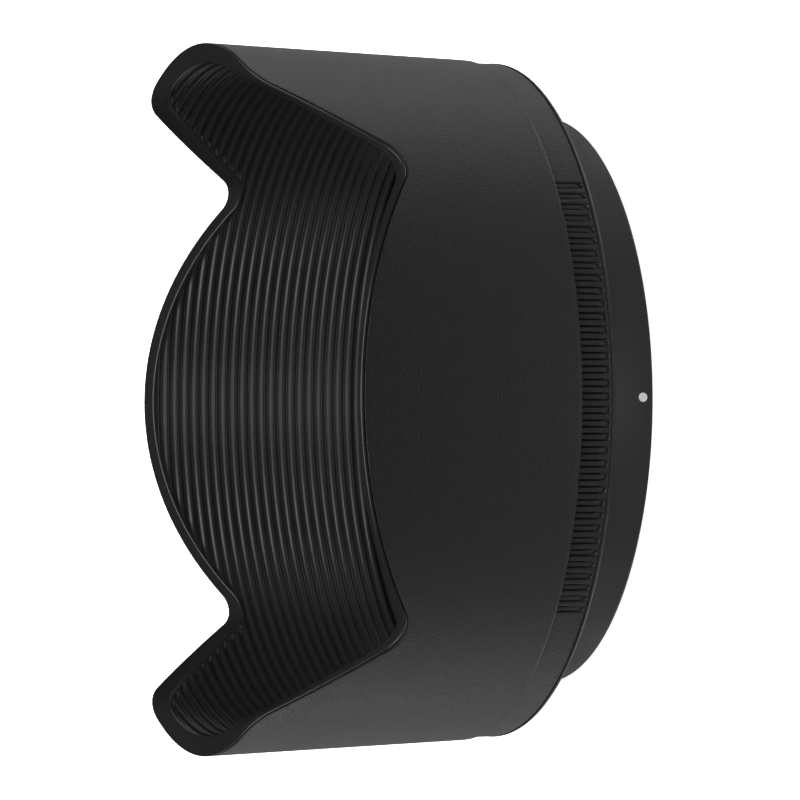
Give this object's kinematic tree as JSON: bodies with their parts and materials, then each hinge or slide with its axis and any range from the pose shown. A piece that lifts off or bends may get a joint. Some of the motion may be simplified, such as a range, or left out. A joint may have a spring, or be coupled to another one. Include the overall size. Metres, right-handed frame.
{
  "type": "bayonet lens hood",
  "caption": "Petal-shaped lens hood in black plastic, ribbed inside, with a knurled grip ring, a bayonet mount ring and a white index dot.",
  "frame": {"origin": "centre of the mount ring's rear face, on the optical axis", "axes": "+Z along the optical axis from the mount to the petals; the index dot and a short petal face -Y, the long petals lie on -X and +X"},
  "size_m": [0.1, 0.0996, 0.0524],
  "materials": {
    "shell_plastic": "fine moulded grain, black",
    "liner_plastic": "matt black with moulded anti-reflection ribs",
    "grip_plastic": "satin black",
    "mount_plastic": "satin black",
    "bayonet_plastic": "smooth low-friction black",
    "dot_white": "white filled paint",
    "spring_steel": "spring steel strip",
    "screw_steel": "blackened steel"
  },
  "bodies": {
    "hood": {"outer_shell": "shell_plastic", "baffle_liner": "liner_plastic", "grip_ring": "grip_plastic", "mount_ring": "mount_plastic", "bayonet_ring": "bayonet_plastic", "index_dot": "dot_white", "clamp_screw_1": "screw_steel", "clamp_screw_2": "screw_steel", "clamp_screw_3": "screw_steel", "clamp_screw_4": "screw_steel"},
    "leaf_1": {"click_spring_1": "spring_steel"},
    "leaf_2": {"click_spring_2": "spring_steel"},
    "leaf_3": {"click_spring_3": "spring_steel"}
  },
  "joints": [
    {"name": "click_flex_1", "type": "hinge", "parent": "hood", "child": "leaf_1", "pos_m": [0.0364, 0.01253, 0.0054], "axis": [0, 0, -1], "range_deg": [0, 2.5], "stiffness_Nm_per_rad": 0.7},
    {"name": "click_flex_2", "type": "hinge", "parent": "hood", "child": "leaf_2", "pos_m": [-0.02906, 0.02526, 0.0054], "axis": [0, 0, -1], "range_deg": [0, 2.5], "stiffness_Nm_per_rad": 0.7},
    {"name": "click_flex_3", "type": "hinge", "parent": "hood", "child": "leaf_3", "pos_m": [-0.00735, -0.03779, 0.0054], "axis": [0, 0, -1], "range_deg": [0, 2.5], "stiffness_Nm_per_rad": 0.7}
  ]
}
